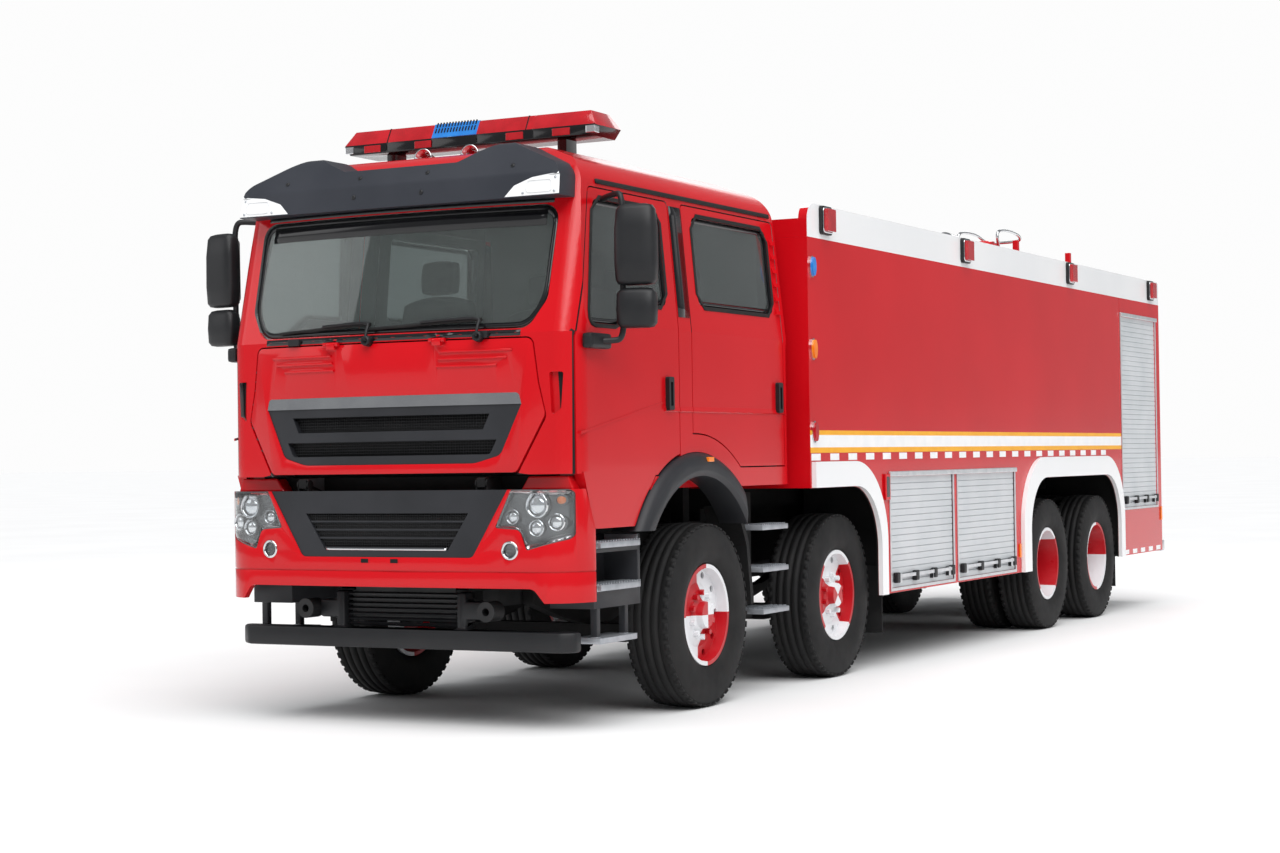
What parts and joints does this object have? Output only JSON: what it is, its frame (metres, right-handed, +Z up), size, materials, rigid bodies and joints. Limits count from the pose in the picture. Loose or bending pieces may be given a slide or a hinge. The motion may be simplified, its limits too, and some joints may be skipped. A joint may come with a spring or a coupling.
{
  "type": "foam fire truck",
  "caption": "Eight-wheel crew-cab foam fire truck with a tilting cab, hinged doors, steered front axles and a roof monitor.",
  "frame": {"origin": "bounding box bottom centre, on the ground", "axes": "+X is the vehicle's left, -Y the way it faces, +Z up"},
  "size_m": [3, 11.5, 3.455],
  "materials": {
    "tyre": "matte",
    "red": "gloss",
    "white": "gloss",
    "black": "satin",
    "steel": "satin",
    "alu": "brushed",
    "glass": "gloss",
    "lens": "gloss",
    "lens_red": "gloss",
    "trim": "matte"
  },
  "bodies": {
    "chassis": {"arch_trims": "white", "body_lamps": "lens_red", "frame": "steel", "front_axles": "steel", "front_bumper": "red", "front_lamps": "lens", "lower_panel": "black", "mud_flaps": "black", "parapet": "white", "powertrain": "steel", "rear_axles": "steel", "rear_bumper": "alu", "roof_ladder": "alu", "shutters": "alu", "springs": "steel", "steps": "black", "tank_body": "red", "tow_sockets": "steel", "underrun_bar": "black"},
    "cab": {"cab_shell": "red", "dashboard": "trim", "fenders": "black", "light_bar": "lens_red", "seats": "trim", "visor": "black", "windscreen": "glass"},
    "door_front_left_set": {"door_front_left": "red", "glass_front_left": "glass", "mirror_left": "black"},
    "door_front_right_set": {"door_front_right": "red", "glass_front_right": "glass", "mirror_right": "black"},
    "door_rear_left_set": {"door_rear_left": "red", "glass_rear_left": "glass"},
    "door_rear_right_set": {"door_rear_right": "red", "glass_rear_right": "glass"},
    "lid": {"front_lid": "red", "upper_grille": "black"},
    "monitor_barrel_set": {"monitor_barrel": "red"},
    "monitor_turn_set": {"monitor_swivel": "red"},
    "steer_1_left_set": {"knuckle_1_left": "steel"},
    "steer_1_right_set": {"knuckle_1_right": "steel"},
    "steer_2_left_set": {"knuckle_2_left": "steel"},
    "steer_2_right_set": {"knuckle_2_right": "steel"},
    "wheel_1_left_set": {"tyre_1_left": "tyre", "wheel_1_left": "red"},
    "wheel_1_right_set": {"tyre_1_right": "tyre", "wheel_1_right": "red"},
    "wheel_2_left_set": {"tyre_2_left": "tyre", "wheel_2_left": "red"},
    "wheel_2_right_set": {"tyre_2_right": "tyre", "wheel_2_right": "red"},
    "wheel_3_left_set": {"tyres_3_left": "tyre", "wheel_3_left": "red"},
    "wheel_3_right_set": {"tyres_3_right": "tyre", "wheel_3_right": "red"},
    "wheel_4_left_set": {"tyres_4_left": "tyre", "wheel_4_left": "red"},
    "wheel_4_right_set": {"tyres_4_right": "tyre", "wheel_4_right": "red"}
  },
  "joints": [
    {"name": "cab_tilt", "type": "hinge", "parent": "chassis", "child": "cab", "pos_m": [0, -5.667, 1.345], "axis": [1, 0, 0], "range_deg": [0, 45]},
    {"name": "door_front_left", "type": "hinge", "parent": "cab", "child": "door_front_left_set", "pos_m": [1.15, -5.582, 1.9], "axis": [0, 0, -1], "range_deg": [0, 70]},
    {"name": "door_rear_left", "type": "hinge", "parent": "cab", "child": "door_rear_left_set", "pos_m": [1.15, -4.244, 1.9], "axis": [0, 0, -1], "range_deg": [0, 70]},
    {"name": "door_front_right", "type": "hinge", "parent": "cab", "child": "door_front_right_set", "pos_m": [-1.15, -5.582, 1.9], "axis": [0, 0, 1], "range_deg": [0, 70]},
    {"name": "door_rear_right", "type": "hinge", "parent": "cab", "child": "door_rear_right_set", "pos_m": [-1.15, -4.244, 1.9], "axis": [0, 0, 1], "range_deg": [0, 70]},
    {"name": "front_lid", "type": "hinge", "parent": "cab", "child": "lid", "pos_m": [0, -5.736, 2.124], "axis": [-1, 0, 0], "range_deg": [0, 80]},
    {"name": "steer_1_left", "type": "hinge", "parent": "chassis", "child": "steer_1_left_set", "pos_m": [0.9, -4.11, 0.542], "axis": [0, 0, 1], "range_deg": [-36, 36]},
    {"name": "wheel_1_left", "type": "hinge", "parent": "steer_1_left_set", "child": "wheel_1_left_set", "pos_m": [1.03, -4.11, 0.542], "axis": [1, 0, 0], "continuous": true},
    {"name": "steer_1_right", "type": "hinge", "parent": "chassis", "child": "steer_1_right_set", "pos_m": [-0.9, -4.11, 0.542], "axis": [0, 0, 1], "range_deg": [-36, 36]},
    {"name": "wheel_1_right", "type": "hinge", "parent": "steer_1_right_set", "child": "wheel_1_right_set", "pos_m": [-1.03, -4.11, 0.542], "axis": [1, 0, 0], "continuous": true},
    {"name": "steer_2_left", "type": "hinge", "parent": "chassis", "child": "steer_2_left_set", "pos_m": [0.9, -2.16, 0.542], "axis": [0, 0, 1], "range_deg": [-25.92, 25.92]},
    {"name": "wheel_2_left", "type": "hinge", "parent": "steer_2_left_set", "child": "wheel_2_left_set", "pos_m": [1.03, -2.16, 0.542], "axis": [1, 0, 0], "continuous": true},
    {"name": "steer_2_right", "type": "hinge", "parent": "chassis", "child": "steer_2_right_set", "pos_m": [-0.9, -2.16, 0.542], "axis": [0, 0, 1], "range_deg": [-25.92, 25.92]},
    {"name": "wheel_2_right", "type": "hinge", "parent": "steer_2_right_set", "child": "wheel_2_right_set", "pos_m": [-1.03, -2.16, 0.542], "axis": [1, 0, 0], "continuous": true},
    {"name": "wheel_3_left", "type": "hinge", "parent": "chassis", "child": "wheel_3_left_set", "pos_m": [0.905, 2.22, 0.542], "axis": [1, 0, 0], "continuous": true},
    {"name": "wheel_3_right", "type": "hinge", "parent": "chassis", "child": "wheel_3_right_set", "pos_m": [-0.905, 2.22, 0.542], "axis": [1, 0, 0], "continuous": true},
    {"name": "wheel_4_left", "type": "hinge", "parent": "chassis", "child": "wheel_4_left_set", "pos_m": [0.905, 3.62, 0.542], "axis": [1, 0, 0], "continuous": true},
    {"name": "wheel_4_right", "type": "hinge", "parent": "chassis", "child": "wheel_4_right_set", "pos_m": [-0.905, 3.62, 0.542], "axis": [1, 0, 0], "continuous": true},
    {"name": "monitor_turn", "type": "hinge", "parent": "chassis", "child": "monitor_turn_set", "pos_m": [0, 4.19, 3.12], "axis": [0, 0, 1], "range_deg": [-170, 170]},
    {"name": "monitor_raise", "type": "hinge", "parent": "monitor_turn_set", "child": "monitor_barrel_set", "pos_m": [0, 4.19, 3.36], "axis": [-1, 0, 0], "range_deg": [-10, 70]}
  ],
  "couplings": [
    {"joint": "steer_1_right", "follows": "steer_1_left", "ratio": 1},
    {"joint": "steer_2_left", "follows": "steer_1_left", "ratio": 0.72},
    {"joint": "steer_2_right", "follows": "steer_1_left", "ratio": 0.72}
  ]
}
